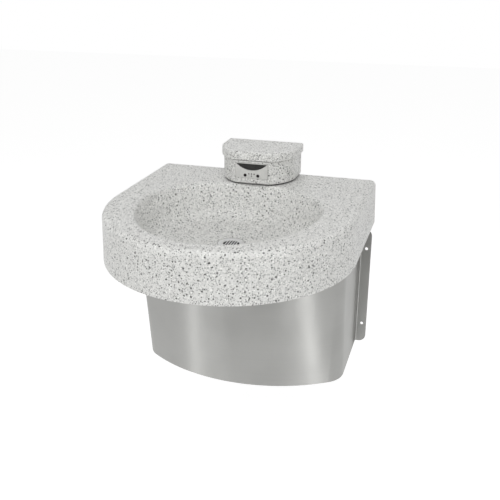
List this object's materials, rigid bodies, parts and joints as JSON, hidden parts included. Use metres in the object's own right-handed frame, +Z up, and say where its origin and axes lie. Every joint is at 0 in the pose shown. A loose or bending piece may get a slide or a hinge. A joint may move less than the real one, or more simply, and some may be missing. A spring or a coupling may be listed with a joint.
{
  "type": "ligature-resistant sink",
  "caption": "Wall-hung speckled solid-surface basin with an egg bowl, a closed sensor head on its deck and a curved steel skirt over the pipes.",
  "frame": {"origin": "centre of the four wall bolts of the brackets, on the wall", "axes": "+Z up, +Y into the wall, +X to the right seen from the front"},
  "size_m": [0.6086, 0.6053, 0.565],
  "materials": {
    "solid_surface": "cast solid surface, pale grey with fine grey and near-black chips, satin",
    "stainless_sheet": "brushed stainless sheet, fine grain along the sheet",
    "strainer_steel": "satin stainless",
    "zinc_steel": "zinc plated steel",
    "brass": "raw brass",
    "chrome": "polished chrome plate",
    "copper": "drawn copper tube",
    "black_moulding": "black moulded plastic",
    "grey_moulding": "grey moulded plastic",
    "dark_lens": "dark infrared-clear plastic",
    "rubber": "black rubber",
    "fibre": "red fibre",
    "sleeve_steel": "plain stainless"
  },
  "bodies": {
    "fixed": {"basin": "solid_surface", "head_body": "solid_surface", "head_lid": "solid_surface", "skirt": "stainless_sheet", "face_plate": "stainless_sheet", "drain_strainer": "strainer_steel", "wall_bracket_left": "zinc_steel", "wall_bracket_right": "zinc_steel", "support_rail": "zinc_steel", "bracket_bolts": "zinc_steel", "bracket_washers": "zinc_steel", "head_studs": "zinc_steel", "head_washers": "zinc_steel", "head_nuts": "zinc_steel", "rail_screws": "zinc_steel", "strap_screws": "zinc_steel", "skirt_screws": "zinc_steel", "plate_nuts": "zinc_steel", "bracket_inserts": "brass", "skirt_inserts": "brass", "drain_locknut": "brass", "compression_nuts": "brass", "mixing_valve_body": "brass", "mixing_valve_bonnet": "brass", "tailpiece": "chrome", "trap_bend": "chrome", "trap_arm": "chrome", "trap_nuts": "chrome", "hot_stop_body": "chrome", "cold_stop_body": "chrome", "stop_bonnets": "chrome", "outlet_tube": "copper", "hot_supply_tube": "copper", "cold_supply_tube": "copper", "spray_outlet": "black_moulding", "sensor_module": "black_moulding", "solenoid_coil": "black_moulding", "control_box": "grey_moulding", "control_cover": "grey_moulding", "valve_saddle": "grey_moulding", "valve_strap": "grey_moulding", "solenoid_body": "grey_moulding", "sensor_lenses": "dark_lens", "indicator_lights": "dark_lens", "head_gasket": "rubber", "tube_grommet": "rubber", "drain_seal": "rubber", "drain_washer": "rubber", "trap_washers": "rubber", "drain_friction_ring": "fibre", "solenoid_sleeve": "sleeve_steel", "plunger_spring": "sleeve_steel", "coil_nut": "sleeve_steel"},
    "hot_stop_turning": {"hot_stop_spindle": "chrome", "hot_stop_handle": "chrome"},
    "cold_stop_turning": {"cold_stop_spindle": "chrome", "cold_stop_handle": "chrome"},
    "temperature_turning": {"temperature_spindle": "brass"},
    "solenoid_moving": {"solenoid_plunger": "sleeve_steel"}
  },
  "joints": [
    {"name": "hot_stop_turn", "type": "hinge", "parent": "fixed", "child": "hot_stop_turning", "pos_m": [-0.115, -0.07, -0.22], "axis": [0, 1, 0], "range_deg": [0, 90]},
    {"name": "cold_stop_turn", "type": "hinge", "parent": "fixed", "child": "cold_stop_turning", "pos_m": [0.115, -0.07, -0.22], "axis": [0, 1, 0], "range_deg": [0, 90]},
    {"name": "temperature_turn", "type": "hinge", "parent": "fixed", "child": "temperature_turning", "pos_m": [0, -0.075, -0.03], "axis": [0, 1, 0], "range_deg": [-110, 110]},
    {"name": "solenoid_lift", "type": "slide", "parent": "fixed", "child": "solenoid_moving", "axis": [0, -1, 0], "range_m": [0, 0.003], "stiffness_N_per_m": 400, "springref_m": -0.004, "deforming": ["plunger_spring"]}
  ]
}
